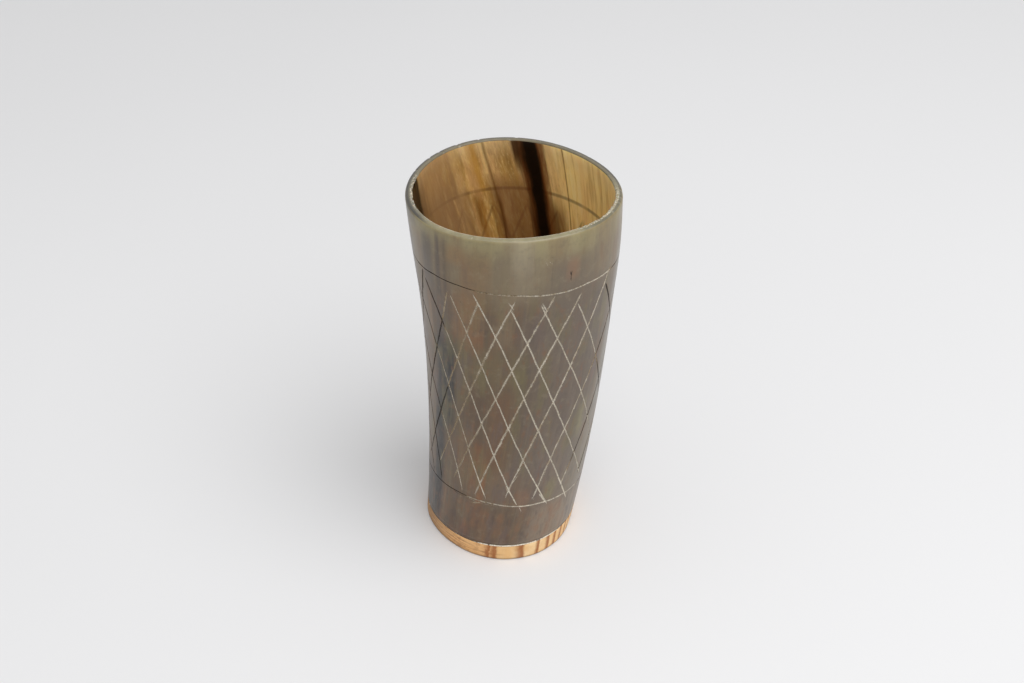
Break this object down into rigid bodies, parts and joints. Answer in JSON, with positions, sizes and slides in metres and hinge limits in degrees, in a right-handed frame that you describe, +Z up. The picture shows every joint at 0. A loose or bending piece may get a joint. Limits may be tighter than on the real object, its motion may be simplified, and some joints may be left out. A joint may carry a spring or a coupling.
{
  "type": "horn drinking cup",
  "caption": "Tapered, slightly bowed drinking cup of translucent horn with an incised diamond lattice between cut rings, closed by a pine foot plugged and glued into its narrow end.",
  "frame": {"origin": "middle of the wooden foot's underside, on the table", "axes": "+Z up the cup, +X to the side that the mouth leans to, +Y away from the pictured side"},
  "size_m": [0.0738, 0.0742, 0.145],
  "materials": {
    "horn": "satin, hand rubbed horn with lengthwise streaks",
    "pine": "sanded, lightly oiled",
    "glue": "dull, dried",
    "seal": "clear amber, smooth"
  },
  "bodies": {
    "root": {"horn_body": "horn", "wood_base": "pine", "glue_seam": "glue", "base_seal": "seal"}
  },
  "joints": []
}
